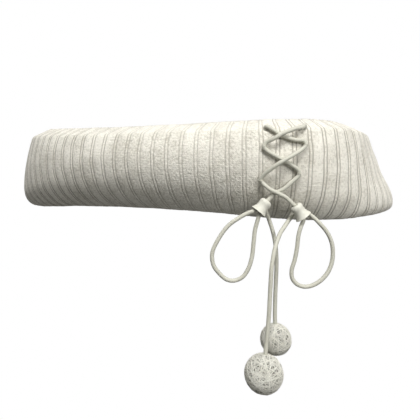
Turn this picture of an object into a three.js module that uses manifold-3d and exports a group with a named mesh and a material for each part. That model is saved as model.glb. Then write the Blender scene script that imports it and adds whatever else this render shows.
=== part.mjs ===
// A padded rib-knit headband, laced at one side with a cord that ends in a bow and two yarn balls.
// Millimetres, +Z up. The origin is the centre of the head opening at the band's mid-height, +X is
// the long way of the opening and -Y is the laced side. Left and right are as seen facing the lacing.
import * as THREE from "three";
import { mergeVertices } from "three/addons/utils/BufferGeometryUtils.js";
import Module from "manifold-3d";

// ---- Driving dimensions ----
const HALF_LENGTH = 112.6; // outer half length of the band at mid-height, along X
const HALF_WIDTH = 79.6; // outer half width at mid-height, along Y
const SQUARENESS = 3.9; // how far the outline is flatter than an ellipse
const TOP_EDGE = 21; // top edge above mid-height
const BOTTOM_EDGE = 20.5; // bottom edge below mid-height
const NEAR_RISE = 1.5; // how much higher the top edge is near the lacing
const NEAR_DIP = 3.7; // how much lower the bottom edge hangs there
const NEAR_ANGLE = degrees(-32);
const FAR_SWELL = 3.3; // how much further both edges reach at the far end
const FAR_ANGLE = degrees(211.5);
const THICKNESS = 10.5; // outside of the knit to the lining's inner face
const SIDE_LEAN = -0.19; // slope of the upright sides, bottom inward
const END_LEAN = 0.555; // extra slope at the two ends, bottom outward
const LEAN_ANGLE = degrees(12.5);
const FLARE = 4.7; // how far the near end flares out at the bottom edge
const CROWN = 10.3; // how far the padded sides curl in at the top edge
const CROWN_ANGLE = degrees(7.7);
const TOP_ROLL = 8.5; // depth of the sloping top roll
const TOP_CREASE = 16.5; // height where the top roll starts
const BOTTOM_ROLL = 9; // depth of the round bottom roll
const BOTTOM_CREASE = -8; // height where the bottom roll starts, also the last of LEVELS
const KNIT = 2.2; // thickness of the rib knit
const LINING = 1.2; // thickness of the lining
const LIP = 17.2; // height where the turned-in knit ends and the lining starts
const ELASTIC = 0.7; // thickness of the elastic tape
const LAYER_GAP = 0.6; // room between touching layers
const SEAM_THREAD = 0.7; // diameter of the thread in the lining seams
const CLOSING_SEAM_WIDTH = 6;
const CLOSING_SEAM_THICKNESS = 0.9;
const BACKING = 0.8; // tape behind the lacing
const RING_STEPS = 60; // pieces that the ring is faceted into

const CORD = 1.8; // diameter of the lace
const CORD_SIDES = 8;
const CORD_GAP = 0.35; // room round the cord
const LACING_ANGLE = degrees(-48.6); // where the lacing sits on the outline
const BRIDGE_DEPTH = 5; // depth of the hidden stretch of lace between the top holes
const BRIDGE_HEIGHT = 13.4;
const STITCH_THREAD = 0.5; // diameter of the stitches that hold the bends

const BELL_LENGTH = 6.2;
const BELL_MOUTH = 3.75; // radius
const BELL_NECK = 2.1; // radius
const BELL_WALL = 0.45;
const BELL_BORE_LENGTH = 2.2;
const KNOT_RADIUS = 1.9;
const KNOT_INSET = 1.2; // knot centre inside the bell's mouth
const TAIL_KNOT_RADIUS = 1.3;
const LEFT_BALL_RADIUS = 6.9;
const RIGHT_BALL_RADIUS = 8.2;
const END_KNOT_RADIUS = 1.7;

// ---- Colours ----
const IVORY = 0xe9e5d6;
const CREAM = 0xefece0;
const LINEN = 0xddd8c8;
const CORD_IVORY = 0xdedbcb;

const wasm = await Module();
wasm.setup();
const headband = new THREE.Group();

function degrees(value) {
  return (value * Math.PI) / 180;
}

function add(name, geometry, color, roughness = 0.9) {
  const material = new THREE.MeshStandardMaterial({ color, roughness, metalness: 0 });
  const mesh = new THREE.Mesh(geometry, material);
  mesh.name = name;
  headband.add(mesh);
  return mesh;
}

// ---- The band's own space: an angle round the outline, a depth and a height ----
// The outline is an ellipse, squared a little by its third harmonic.
function outline(angle) {
  return new THREE.Vector3(
    HALF_LENGTH * Math.cos(angle) - SQUARENESS * Math.cos(3 * angle),
    HALF_WIDTH * Math.sin(angle) + SQUARENESS * Math.sin(3 * angle),
    0,
  );
}

function outlineTangent(angle) {
  return new THREE.Vector3(
    -HALF_LENGTH * Math.sin(angle) + 3 * SQUARENESS * Math.sin(3 * angle),
    HALF_WIDTH * Math.cos(angle) + 3 * SQUARENESS * Math.cos(3 * angle),
    0,
  ).normalize();
}

function outlineNormal(angle) {
  const tangent = outlineTangent(angle);
  return new THREE.Vector3(tangent.y, -tangent.x, 0);
}

// 1 at one place round the band, fading to 0 on both sides of it
const closeness = (angle, place) => Math.max(0, Math.cos(angle - place)) ** 4;

// The ends lean out towards the bottom, the sides stand up and curl in at both edges.
function sectionShift(angle, height) {
  const lean = SIDE_LEAN + END_LEAN * Math.cos(angle - LEAN_ANGLE) ** 4;
  const crown = CROWN * Math.sin(angle - CROWN_ANGLE) ** 2;
  const flare = height < 0 ? FLARE * closeness(angle, LEAN_ANGLE) : 0;
  const edge = height > 0 ? TOP_EDGE : BOTTOM_EDGE;
  return -lean * height + (flare - crown) * (height / edge) ** 2;
}

function heightStretch(angle, height) {
  const near = closeness(angle, NEAR_ANGLE);
  const far = closeness(angle, FAR_ANGLE) * FAR_SWELL;
  return 1 + (height > 0 ? (NEAR_RISE * near + far) / TOP_EDGE : (NEAR_DIP * near + far) / BOTTOM_EDGE);
}

// Depth is 0 at the outside of the knit and negative towards the head.
function bandPoint(angle, depth, height) {
  const point = outline(angle);
  point.addScaledVector(outlineNormal(angle), depth + sectionShift(angle, height));
  point.z = height * heightStretch(angle, height);
  return point;
}

// ---- Rings: a closed section of depths and heights, taken all the way round ----
const RING_BASE = 500; // radius of the lathe before its vertices are moved to the outline
const LEVELS = [8, 0, -8]; // every layer bends at these heights, so that the gaps between them stay

function ring(section) {
  const closed = [...section, section[0]].reverse();
  const points = closed.map(([depth, height]) => new THREE.Vector2(RING_BASE + depth, height));
  const geometry = new THREE.LatheGeometry(points, RING_STEPS);
  const position = geometry.getAttribute("position");
  for (let i = 0; i < position.count; i++) {
    const [x, y, z] = [position.getX(i), position.getY(i), position.getZ(i)];
    const moved = bandPoint(Math.atan2(-z, x), Math.hypot(x, z) - RING_BASE, y);
    position.setXYZ(i, moved.x, moved.y, moved.z);
  }
  return geometry;
}

const down = (depth) => LEVELS.map((level) => [depth, level]);
const up = (depth) => down(depth).reverse();

// A quarter oval round the bottom edge, smaller by an inset.
function bottomRoll(inset, turns) {
  return turns.map((turn) => {
    const a = degrees(turn);
    const depth = inset + (BOTTOM_ROLL - inset) * (1 - Math.cos(a));
    return [-depth, BOTTOM_CREASE - (BOTTOM_EDGE + BOTTOM_CREASE - inset) * Math.sin(a)];
  });
}

// Sections run over the top, down the outside, under the bottom and up the inside.
const shellInner = KNIT - THICKNESS;
const shellSection = [
  [-THICKNESS, LIP],
  [-THICKNESS, TOP_EDGE - 1.4],
  [-TOP_ROLL, TOP_EDGE],
  [-TOP_ROLL * 0.12, TOP_CREASE + (TOP_EDGE - TOP_CREASE) * 0.14],
  [0, TOP_CREASE],
  ...down(0),
  ...bottomRoll(0, [25, 50, 75]),
  [-BOTTOM_ROLL, -BOTTOM_EDGE],
  [-THICKNESS, 1 - BOTTOM_EDGE],
  [-THICKNESS, -LIP],
  [shellInner, -LIP],
  [shellInner, -LIP - 0.8],
  ...bottomRoll(KNIT, [25, 50, 75]).reverse(),
  ...up(-KNIT),
  [-KNIT, TOP_CREASE - KNIT * 0.55],
  [shellInner + 0.3, TOP_EDGE - KNIT * 1.2],
  [shellInner, LIP],
];

const coreFront = -KNIT - LAYER_GAP;
const elasticOuter = -THICKNESS + LINING + LAYER_GAP + ELASTIC;
const coreBack = elasticOuter + LAYER_GAP;
const coreTop = TOP_CREASE - KNIT * 0.6;
const coreSection = [
  [coreBack, coreTop + 1.5],
  [coreFront - 1, coreTop],
  [coreFront, coreTop - 2],
  ...down(coreFront),
  ...bottomRoll(KNIT + LAYER_GAP + 0.3, [25, 50]),
  [coreBack, 3.6 - BOTTOM_EDGE],
  ...up(coreBack),
];
const liningSection = [
  [-THICKNESS, LIP - LAYER_GAP],
  [-THICKNESS + LINING, LIP - LAYER_GAP],
  ...down(-THICKNESS + LINING),
  [-THICKNESS + LINING, LAYER_GAP - LIP],
  [-THICKNESS, LAYER_GAP - LIP],
  ...up(-THICKNESS),
];
const elasticSection = [...down(elasticOuter), ...up(elasticOuter - ELASTIC)];

function threadSection(height) {
  const radius = SEAM_THREAD / 2;
  const depth = -THICKNESS - LAYER_GAP - radius;
  return [0, 1, 2, 3, 4].map((i) => {
    const a = degrees(90 - 72 * i);
    return [depth + radius * Math.cos(a), height + radius * Math.sin(a)];
  });
}

// ---- Places round the lacing: along the outline, up, and off the surface ----
function angleAlong(distance) {
  const steps = 40;
  let angle = LACING_ANGLE;
  for (let i = 0; i < steps; i++) {
    const span = outline(angle + 1e-3).distanceTo(outline(angle)) / 1e-3;
    angle += distance / steps / span;
  }
  return angle;
}

function knitDepth(height) {
  if (height > TOP_CREASE) return (-TOP_ROLL * (height - TOP_CREASE)) / (TOP_EDGE - TOP_CREASE);
  if (height > BOTTOM_CREASE) return 0;
  const part = Math.min(1, (BOTTOM_CREASE - height) / (BOTTOM_EDGE + BOTTOM_CREASE));
  return -BOTTOM_ROLL * (1 - Math.sqrt(1 - part * part));
}

function onKnit(along, height) {
  return bandPoint(angleAlong(along), knitDepth(height), height);
}

function knitNormal(along, height) {
  const step = 0.05;
  const across = onKnit(along + step, height).sub(onKnit(along - step, height));
  const up = onKnit(along, height + step).sub(onKnit(along, height - step));
  return across.cross(up).normalize();
}

function offKnit([along, height, lift]) {
  return onKnit(along, height).addScaledVector(knitNormal(along, height), lift);
}

function inBand([along, height, depth]) {
  return bandPoint(angleAlong(along), depth, height);
}

// Flat places in front of the lacing: along, out and up from the outline's own point.
const lacingOrigin = outline(LACING_ANGLE);
const lacingAlong = outlineTangent(LACING_ANGLE);
const lacingOut = outlineNormal(LACING_ANGLE);

function hanging([along, out, up]) {
  const point = lacingOrigin.clone().addScaledVector(lacingAlong, along).addScaledVector(lacingOut, out);
  point.z = up;
  return point;
}

// ---- Solid helpers ----
function solidOf(geometry) {
  const plain = geometry.clone();
  plain.deleteAttribute("normal");
  plain.deleteAttribute("uv");
  const merged = mergeVertices(plain, 1e-4);
  const vertProperties = merged.getAttribute("position").array;
  const triVerts = new Uint32Array(merged.index.array);
  return new wasm.Manifold(new wasm.Mesh({ numProp: 3, vertProperties, triVerts }));
}

function geometryOf(solid) {
  const mesh = solid.getMesh();
  const geometry = new THREE.BufferGeometry();
  geometry.setAttribute("position", new THREE.BufferAttribute(mesh.vertProperties, 3));
  geometry.setIndex(new THREE.BufferAttribute(mesh.triVerts, 1));
  geometry.computeVertexNormals();
  return geometry;
}

function roundShape(radius, sides) {
  const shape = new THREE.Shape();
  for (let i = 0; i < sides; i++) {
    const a = (2 * Math.PI * i) / sides;
    if (i === 0) shape.moveTo(radius, 0);
    else shape.lineTo(radius * Math.cos(a), radius * Math.sin(a));
  }
  return shape;
}

function smooth(points) {
  return new THREE.CatmullRomCurve3(points, false, "centripetal");
}

function cordAlong(points, diameter, steps, sides = CORD_SIDES) {
  return new THREE.ExtrudeGeometry(roundShape(diameter / 2, sides), {
    steps,
    extrudePath: smooth(points),
    bevelEnabled: false,
  });
}

// A block whose sides follow the band: its size along, in height and in depth.
function bentBlock(alongRange, heightRange, depthRange, rows, place) {
  const [a0, a1] = alongRange;
  const [h0, h1] = heightRange;
  const [d0, d1] = depthRange;
  const geometry = new THREE.BoxGeometry(a1 - a0, h1 - h0, d1 - d0, 4, rows, 1);
  geometry.translate((a0 + a1) / 2, (h0 + h1) / 2, (d0 + d1) / 2);
  const position = geometry.getAttribute("position");
  for (let i = 0; i < position.count; i++) {
    const moved = place([position.getX(i), position.getY(i), position.getZ(i)]);
    position.setXYZ(i, moved.x, moved.y, moved.z);
  }
  return geometry;
}

// A turned piece, its axis along +Y, stood on a point with +Y along a direction.
function turned(profile, segments, at, direction) {
  const points = profile.map(([radius, along]) => new THREE.Vector2(radius, along));
  const geometry = new THREE.LatheGeometry(points, segments);
  const turn = new THREE.Quaternion().setFromUnitVectors(new THREE.Vector3(0, 1, 0), direction);
  geometry.applyQuaternion(turn);
  geometry.translate(at.x, at.y, at.z);
  return geometry;
}

// ---- The lace's route: [along, height, lift] on the knit ----
const UNDER = CORD / 2 + CORD_GAP;
const OVER = UNDER + CORD + CORD_GAP;
const LEFT_HOLE = [-7.3, TOP_CREASE];
const RIGHT_HOLE = [10.5, TOP_CREASE + 0.2];
const LEFT_BENDS = [
  [-8.1, 8.5],
  [-9.4, -4.2],
];
const RIGHT_BENDS = [
  [9.4, 9.4],
  [6.8, -1.7],
];

// Straight stretch through a bell: its mouth, its direction towards the lacing, and how long it is.
const LEFT_MOUTH = [-10.8, 0, -18.5];
const LEFT_TOWARDS = [-2.6, -0.4, -9.8];
const RIGHT_MOUTH = [9.3, 0.5, -20.2];
const RIGHT_TOWARDS = [-1.4, 1.3, -10.2];
const STRAIGHT = 10.2;

function bellAxis(mouth, towards) {
  return hanging(towards).sub(hanging(mouth)).normalize();
}

function alongAxis(mouth, towards, distance) {
  return hanging(mouth).addScaledVector(bellAxis(mouth, towards), distance);
}

function holePath([along, height], side) {
  const outwards = side * 0.2;
  return [
    offKnit([along - side * 1.9, height - 0.6, UNDER]),
    offKnit([along - outwards, height, CORD * 0.35]),
    offKnit([along, height, -KNIT]),
    inBand([along - side * 0.6, BRIDGE_HEIGHT + 0.9, -BRIDGE_DEPTH + 0.4]),
    inBand([along - side * 2.2, BRIDGE_HEIGHT, -BRIDGE_DEPTH]),
  ];
}

const laceEnd = KNOT_INSET + KNOT_RADIUS + 0.3;
const crossLift = UNDER + 0.9; // the lace leaves the knit at the last crossing
const crossOver = crossLift + CORD + CORD_GAP;
const laceRoute = [
  ...[laceEnd, 6, 8.2, STRAIGHT].map((d) => alongAxis(LEFT_MOUTH, LEFT_TOWARDS, d)),
  offKnit([0.6, -7, crossLift]),
  offKnit([3.9, -4.7, UNDER + 0.2]),
  offKnit([6.3, -2.9, UNDER]),
  offKnit([...RIGHT_BENDS[1], UNDER]),
  offKnit([6, -0.4, UNDER]),
  offKnit([-0.2, 3.2, UNDER]),
  offKnit([-6.8, 6.9, UNDER]),
  offKnit([...LEFT_BENDS[0], UNDER]),
  offKnit([-7.2, 10, UNDER + 0.2]),
  offKnit([-3.9, 11.3, OVER - 0.6]),
  offKnit([-0.7, 12.9, OVER]),
  offKnit([4.4, 14.9, OVER - 0.7]),
  ...holePath(RIGHT_HOLE, 1),
  inBand([1.6, BRIDGE_HEIGHT, -BRIDGE_DEPTH]),
  ...holePath(LEFT_HOLE, -1).reverse(),
  offKnit([-3.4, 14.6, UNDER]),
  offKnit([-0.7, 12.9, UNDER]),
  offKnit([4.6, 11.1, UNDER]),
  offKnit([8.7, 10.6, UNDER]),
  offKnit([...RIGHT_BENDS[0], UNDER]),
  offKnit([8.6, 8, UNDER]),
  offKnit([4, 5.4, OVER - 0.6]),
  offKnit([-0.2, 3.2, OVER]),
  offKnit([-4.4, 0.7, OVER - 0.6]),
  offKnit([-8.7, -2.9, UNDER + 0.1]),
  offKnit([...LEFT_BENDS[1], UNDER]),
  offKnit([-8.6, -5.2, UNDER + 0.2]),
  offKnit([-5.8, -6.7, crossOver - 0.8]),
  ...[STRAIGHT + 1, 8.2, 6, laceEnd].map((d) => alongAxis(RIGHT_MOUTH, RIGHT_TOWARDS, d)),
];

// ---- The free cords: [along, out, up] in front of the lacing ----
// The two tails hang from knots sewn to the band behind the bells, the right one in front.
const LEFT_TAIL_KNOT = [-7.8, -12.6];
const RIGHT_TAIL_KNOT = [8.1, -13.5];
const LEFT_LOOP = [
  [-12.3, 0.6, -18.3],
  [-14.4, 0.6, -18.9],
  [-18.6, 0.5, -21.1],
  [-23.4, 0.5, -24.6],
  [-27.3, 0.5, -29.8],
  [-30.2, 0.5, -36.2],
  [-29.7, 0.5, -41.3],
  [-27.1, 0.5, -45.0],
  [-23.8, 0.5, -47.6],
  [-20.5, 0.5, -47.9],
  [-17.2, 0.5, -46.3],
  [-14.8, 0.5, -42.8],
  [-13.3, 0.5, -37.8],
  [-12.6, 0.5, -31.8],
  [-12.0, 0.5, -26.4],
  [-11.0, 0.6, -22.6],
  [-10.4, 0.6, -20.4],
];
const RIGHT_LOOP = [
  [11.1, 1.0, -19.8],
  [12.9, 1.3, -21.1],
  [15.4, 1.5, -23.6],
  [18.4, 1.5, -27.2],
  [20.3, 1.5, -31.3],
  [20.9, 1.5, -35.6],
  [20.4, 1.5, -40.2],
  [18.7, 1.5, -44.3],
  [15.7, 1.5, -47.7],
  [12.3, 1.5, -49.7],
  [8.9, 1.5, -50.3],
  [5.8, 1.5, -49.3],
  [3.7, 1.5, -46.8],
  [3.4, 1.5, -43.4],
  [4.7, 1.5, -38.9],
  [5.7, 1.5, -33.6],
  [6.3, 1.5, -28.6],
  [7.3, 1.4, -25.0],
  [8.5, 1.0, -22.2],
];
const LEFT_TAIL = [
  [-6.8, -5.0, -17.6],
  [-6.1, -5.1, -19.7],
  [-4.9, -5.0, -23.2],
  [-3.6, -5.0, -27.2],
  [-2.7, -5.0, -31.0],
  [-2.1, -5.0, -35.0],
  [-1.8, -5.0, -42.0],
  [-2.1, -5.0, -50.0],
  [-2.4, -5.0, -58.0],
  [-2.5, -5.0, -65.0],
  [-2.2, -5.0, -73.0],
];
const RIGHT_TAIL = [
  [6.5, -4.9, -18.6],
  [4.4, -4.0, -21.3],
  [1.5, -1.8, -24.6],
  [-1.2, 0.2, -27.9],
  [-2.9, 1.9, -31.1],
  [-4.2, 3.6, -34.4],
  [-5.1, 4.8, -37.8],
  [-5.8, 5.6, -41.2],
  [-6.2, 6.0, -46.0],
  [-6.6, 6.1, -53.0],
  [-7.1, 6.1, -62.0],
  [-7.9, 6.1, -71.0],
  [-8.6, 6.1, -78.2],
  [-9.0, 6.1, -83.0],
];

// ---- Bells, knots and yarn balls ----
// Each bell slides on the lace and hides the knot that its loop hangs from.
const bellBore = CORD / 2 + CORD_GAP + 0.05;
const bellProfile = [
  [bellBore, BELL_LENGTH],
  [bellBore, BELL_LENGTH - BELL_BORE_LENGTH],
  [KNOT_RADIUS + 0.4, BELL_LENGTH * 0.55],
  [KNOT_RADIUS + 0.55, KNOT_INSET + 0.9],
  [BELL_MOUTH - BELL_WALL, 0.25],
  [BELL_MOUTH, 0],
  [BELL_MOUTH * 0.9, BELL_LENGTH * 0.13],
  [BELL_MOUTH * 0.79, BELL_LENGTH * 0.32],
  [KNOT_RADIUS + 0.4 + BELL_WALL, BELL_LENGTH * 0.56],
  [(BELL_NECK + KNOT_RADIUS + 0.4 + BELL_WALL) / 2, BELL_LENGTH * 0.76],
  [BELL_NECK, BELL_LENGTH * 0.93],
  [BELL_NECK * 0.82, BELL_LENGTH],
  [bellBore, BELL_LENGTH],
];

function ballProfile(radius) {
  const bore = CORD / 2 + CORD_GAP;
  const hollow = END_KNOT_RADIUS + CORD_GAP + 0.05;
  const points = [[0, -hollow]];
  for (const turn of [-50, -10, 30]) {
    points.push([hollow * Math.cos(degrees(turn)), hollow * Math.sin(degrees(turn))]);
  }
  points.push([bore, hollow * 0.8], [bore, Math.sqrt(radius * radius - bore * bore)]);
  for (let turn = 67.5; turn > -89; turn -= 17) {
    points.push([radius * Math.cos(degrees(turn)), radius * Math.sin(degrees(turn))]);
  }
  points.push([0, -radius]);
  return points.reverse();
}

function ball(radius, centre, segments, rings) {
  const geometry = new THREE.SphereGeometry(radius, segments, rings);
  geometry.translate(centre.x, centre.y, centre.z);
  return geometry;
}

function addSide(side, mouth, towards, loop, tailKnot, tail, ballRadius) {
  const axis = bellAxis(mouth, towards);
  const knotCentre = alongAxis(mouth, towards, KNOT_INSET);
  const tailPoints = tail.map(hanging);
  const tailKnotCentre = offKnit([...tailKnot, TAIL_KNOT_RADIUS + LAYER_GAP]);
  const [beforeEnd, tailEnd] = tailPoints.slice(-2);
  const tailUp = beforeEnd.clone().sub(tailEnd).normalize();
  const ballCentre = tailEnd.clone().addScaledVector(tailUp, -END_KNOT_RADIUS - 0.3);
  add(`${side}_bell`, turned(bellProfile, 18, hanging(mouth), axis), CORD_IVORY, 0.6);
  add(`${side}_knot`, ball(KNOT_RADIUS, knotCentre, 12, 8), CORD_IVORY, 0.7);
  add(`${side}_loop`, cordAlong(loop.map(hanging), CORD, 30), CORD_IVORY, 0.7);
  add(`${side}_tail_knot`, ball(TAIL_KNOT_RADIUS, tailKnotCentre, 12, 8), CORD_IVORY, 0.7);
  add(`${side}_tail`, cordAlong(tailPoints, CORD, 26), CORD_IVORY, 0.7);
  add(`${side}_ball`, turned(ballProfile(ballRadius), 20, ballCentre, tailUp), CREAM);
  add(`${side}_end_knot`, ball(END_KNOT_RADIUS, ballCentre, 10, 6), CORD_IVORY, 0.7);
}

// ---- The band ----
function holeTool([along, height]) {
  const length = 3 * KNIT;
  const radius = CORD / 2 + 2 * CORD_GAP;
  const profile = [[0, -length], [radius, -length], [radius, length], [0, length]];
  return turned(profile, 14, onKnit(along, height), knitNormal(along, height));
}

const recess = bentBlock([-13, 16], [-16, 16], [-BRIDGE_DEPTH - 1.5, 2], 4, inBand);
const shell = [LEFT_HOLE, RIGHT_HOLE].reduce(
  (solid, hole) => solid.subtract(solidOf(holeTool(hole))),
  solidOf(ring(shellSection)),
);
add("rib_shell", geometryOf(shell), IVORY);
add("padding", geometryOf(solidOf(ring(coreSection)).subtract(solidOf(recess))), LINEN);
add("lining", ring(liningSection), CREAM);
add("elastic_tape", ring(elasticSection), LINEN);
add("top_seam_thread", ring(threadSection(LIP)), CREAM);
add("bottom_seam_thread", ring(threadSection(-LIP)), CREAM);

const backingFront = -KNIT - 2 * LAYER_GAP;
const backing = bentBlock([-11.5, 12], [-8, 8], [backingFront - BACKING, backingFront], 2, inBand);
add("lacing_backing", backing, LINEN);

// The knit is a flat strip joined into a ring on the side away from the lacing.
const seamAngle = LACING_ANGLE + Math.PI;
const seamFront = -THICKNESS - LAYER_GAP;
const lengthPerRadian = outline(seamAngle + 0.5).distanceTo(outline(seamAngle - 0.5));
const seamHalfAngle = CLOSING_SEAM_WIDTH / 2 / lengthPerRadian;
const closingSeam = bentBlock(
  [seamAngle - seamHalfAngle, seamAngle + seamHalfAngle],
  [-16, 16],
  [seamFront - CLOSING_SEAM_THICKNESS, seamFront],
  4,
  ([angle, height, depth]) => bandPoint(angle, depth, height),
);
add("closing_seam", closingSeam, CREAM);

// ---- Lace and the stitches that hold its bends ----
add("lace", cordAlong(laceRoute, CORD, 80), CORD_IVORY, 0.7);

function stitch([along, height]) {
  const reach = CORD / 2 + CORD_GAP + STITCH_THREAD / 2 + 0.15;
  const foot = LAYER_GAP;
  const arch = [
    [-reach, foot],
    [-reach, UNDER],
    [-reach * 0.7, UNDER + reach * 0.7],
    [0, UNDER + reach],
    [reach * 0.7, UNDER + reach * 0.7],
    [reach, UNDER],
    [reach, foot],
  ];
  const points = arch.map(([across, lift]) => offKnit([along + across, height, lift]));
  return cordAlong(points, STITCH_THREAD, 12, 6);
}
add("upper_left_stitch", stitch(LEFT_BENDS[0]), CORD_IVORY);
add("lower_left_stitch", stitch(LEFT_BENDS[1]), CORD_IVORY);
add("upper_right_stitch", stitch(RIGHT_BENDS[0]), CORD_IVORY);
add("lower_right_stitch", stitch(RIGHT_BENDS[1]), CORD_IVORY);

addSide("left", LEFT_MOUTH, LEFT_TOWARDS, LEFT_LOOP, LEFT_TAIL_KNOT, LEFT_TAIL, LEFT_BALL_RADIUS);
addSide("right", RIGHT_MOUTH, RIGHT_TOWARDS, RIGHT_LOOP, RIGHT_TAIL_KNOT, RIGHT_TAIL, RIGHT_BALL_RADIUS);

export default headband;
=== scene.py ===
# %% [markdown]
# # A lace-up knit headband
# The headband is a ring of rib knit sewn round soft padding. A cord is laced up one side, and it ends
# in a bow with two bell caps, two loops and two hanging yarn balls. The CAD model gives the sizes and
# what moves. This lesson makes what a hand and an eye would notice: ribs, stitches, cord and yarn.

# %% Load the frame
import math
import random

import bmesh
import bpy
import numpy as np
from mathutils import Matrix, Vector


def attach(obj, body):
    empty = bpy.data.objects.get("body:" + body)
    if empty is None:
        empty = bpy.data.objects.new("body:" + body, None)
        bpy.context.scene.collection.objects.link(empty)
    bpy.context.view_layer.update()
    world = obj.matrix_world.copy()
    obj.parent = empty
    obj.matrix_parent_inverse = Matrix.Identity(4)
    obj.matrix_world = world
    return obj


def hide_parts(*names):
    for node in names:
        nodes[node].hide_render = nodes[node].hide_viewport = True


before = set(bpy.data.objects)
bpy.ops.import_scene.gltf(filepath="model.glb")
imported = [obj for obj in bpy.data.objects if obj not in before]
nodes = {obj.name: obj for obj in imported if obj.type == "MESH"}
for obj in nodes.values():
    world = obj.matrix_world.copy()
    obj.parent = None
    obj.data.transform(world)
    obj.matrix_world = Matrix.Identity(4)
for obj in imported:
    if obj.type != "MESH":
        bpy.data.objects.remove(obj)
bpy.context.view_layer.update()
MM = 0.001  # the sizes below are in millimetres, Blender's are in metres
print("CAD nodes:", len(nodes))

# %% [markdown]
# ## Camera
# The object is seen level, from a little to the right of its middle. It sits off the middle of the frame
# by the camera's shift, which keeps upright lines upright, where turning the camera would not.

# %% Camera
CAMERA_TURN = math.radians(28.7)
CAMERA_DISTANCE = 284 * MM
CAMERA_VIEW = math.radians(50)
CAMERA_SHIFT = (0.0405, -0.1)

camera_data = bpy.data.cameras.new("camera")
camera_data.angle = CAMERA_VIEW
camera_data.shift_x, camera_data.shift_y = CAMERA_SHIFT
camera_data.clip_start = 0.01
camera = bpy.data.objects.new("camera", camera_data)
camera.location = (math.sin(CAMERA_TURN) * CAMERA_DISTANCE, -math.cos(CAMERA_TURN) * CAMERA_DISTANCE, 0)
camera.rotation_euler = (math.radians(90), 0, CAMERA_TURN)
bpy.context.scene.collection.objects.link(camera)
bpy.context.scene.camera = camera
print("camera at", tuple(round(x, 3) for x in camera.location))

# %% [markdown]
# ## Finding places on the band
# Every piece of the band follows the same oval, so one function turns an angle round the oval, a depth
# into the band and a height into a point. It repeats the CAD model's own formula: an ellipse, squared a
# little by its third harmonic, whose section leans and curls by an amount that changes round the ring.

# %% The band's oval
HALF_LENGTH, HALF_WIDTH, SQUARENESS = 112.6, 79.6, 3.9
TOP_EDGE, BOTTOM_EDGE = 21.0, 20.5
NEAR_RISE, NEAR_DIP, NEAR_ANGLE = 1.5, 3.7, math.radians(-32)
FAR_SWELL, FAR_ANGLE = 3.3, math.radians(211.5)
THICKNESS, KNIT, LINING = 10.5, 2.2, 1.2
SIDE_LEAN, END_LEAN, LEAN_ANGLE = -0.19, 0.555, math.radians(12.5)
FLARE = 4.7
CROWN, CROWN_ANGLE = 10.3, math.radians(7.7)
TOP_ROLL, TOP_CREASE = 8.5, 16.5
BOTTOM_ROLL, BOTTOM_CREASE = 9.0, -8.0
LIP = 17.2  # height where the turned-in knit meets the lining
LACING_ANGLE = math.radians(-48.6)


def outline(angle):
    x = HALF_LENGTH * np.cos(angle) - SQUARENESS * np.cos(3 * angle)
    y = HALF_WIDTH * np.sin(angle) + SQUARENESS * np.sin(3 * angle)
    return np.stack([x, y, np.zeros_like(x)], -1)


def outline_tangent(angle):
    x = -HALF_LENGTH * np.sin(angle) + 3 * SQUARENESS * np.sin(3 * angle)
    y = HALF_WIDTH * np.cos(angle) + 3 * SQUARENESS * np.cos(3 * angle)
    tangent = np.stack([x, y, np.zeros_like(x)], -1)
    return tangent / np.linalg.norm(tangent, axis=-1, keepdims=True)


def closeness(angle, place):
    """1 at one place round the band, fading to 0 on both sides of it."""
    return np.maximum(0, np.cos(angle - place)) ** 4


def band_point(angle, depth, height):
    angle, depth, height = np.broadcast_arrays(*(np.asarray(v, float) for v in (angle, depth, height)))
    tangent = outline_tangent(angle)
    normal = np.stack([tangent[..., 1], -tangent[..., 0], np.zeros_like(angle)], -1)
    lean = SIDE_LEAN + END_LEAN * np.cos(angle - LEAN_ANGLE) ** 4
    crown = CROWN * np.sin(angle - CROWN_ANGLE) ** 2
    flare = np.where(height < 0, FLARE * closeness(angle, LEAN_ANGLE), 0)
    edge = np.where(height > 0, TOP_EDGE, BOTTOM_EDGE)
    shift = -lean * height + (flare - crown) * (height / edge) ** 2
    point = outline(angle) + normal * (depth + shift)[..., None]
    near, far = closeness(angle, NEAR_ANGLE), FAR_SWELL * closeness(angle, FAR_ANGLE)
    longer = np.where(height > 0, NEAR_RISE * near + far, NEAR_DIP * near + far)
    point[..., 2] = height * (1 + longer / edge)
    return point


FINE_ANGLES = LACING_ANGLE + np.linspace(-math.pi, math.pi, 7201)
FINE_STEPS = np.linalg.norm(np.diff(outline(FINE_ANGLES), axis=0), axis=1)
FINE_LENGTHS = np.concatenate([[0], np.cumsum(FINE_STEPS)])
GIRTH = FINE_LENGTHS[-1]
FINE_LENGTHS = FINE_LENGTHS - FINE_LENGTHS[len(FINE_LENGTHS) // 2]


def angle_along(distance):
    """The angle at a distance round the oval from the middle of the lacing."""
    return np.interp(distance, FINE_LENGTHS, FINE_ANGLES)


print("outer girth", round(GIRTH), "mm")

# %% [markdown]
# The lace and the bow are placed in a flat frame in front of the lacing: along the band, out from it,
# and up. On the band itself, a place is a distance along, a height, and a lift off the knit.

# %% Places at the lacing
LACING_ORIGIN = outline(np.array(LACING_ANGLE))
LACING_ALONG = outline_tangent(np.array(LACING_ANGLE))
LACING_OUT = np.array([LACING_ALONG[1], -LACING_ALONG[0], 0])


def hanging(place):
    along, out, up = place
    return LACING_ORIGIN + along * LACING_ALONG + out * LACING_OUT + np.array([0, 0, up])


def knit_depth(height):
    if height > TOP_CREASE:
        return -TOP_ROLL * (height - TOP_CREASE) / (TOP_EDGE - TOP_CREASE)
    if height > BOTTOM_CREASE:
        return 0.0
    part = min(1, (BOTTOM_CREASE - height) / (BOTTOM_EDGE + BOTTOM_CREASE))
    return -BOTTOM_ROLL * (1 - math.sqrt(1 - part * part))


def on_knit(along, height):
    return band_point(angle_along(along), knit_depth(height), height)


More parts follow.
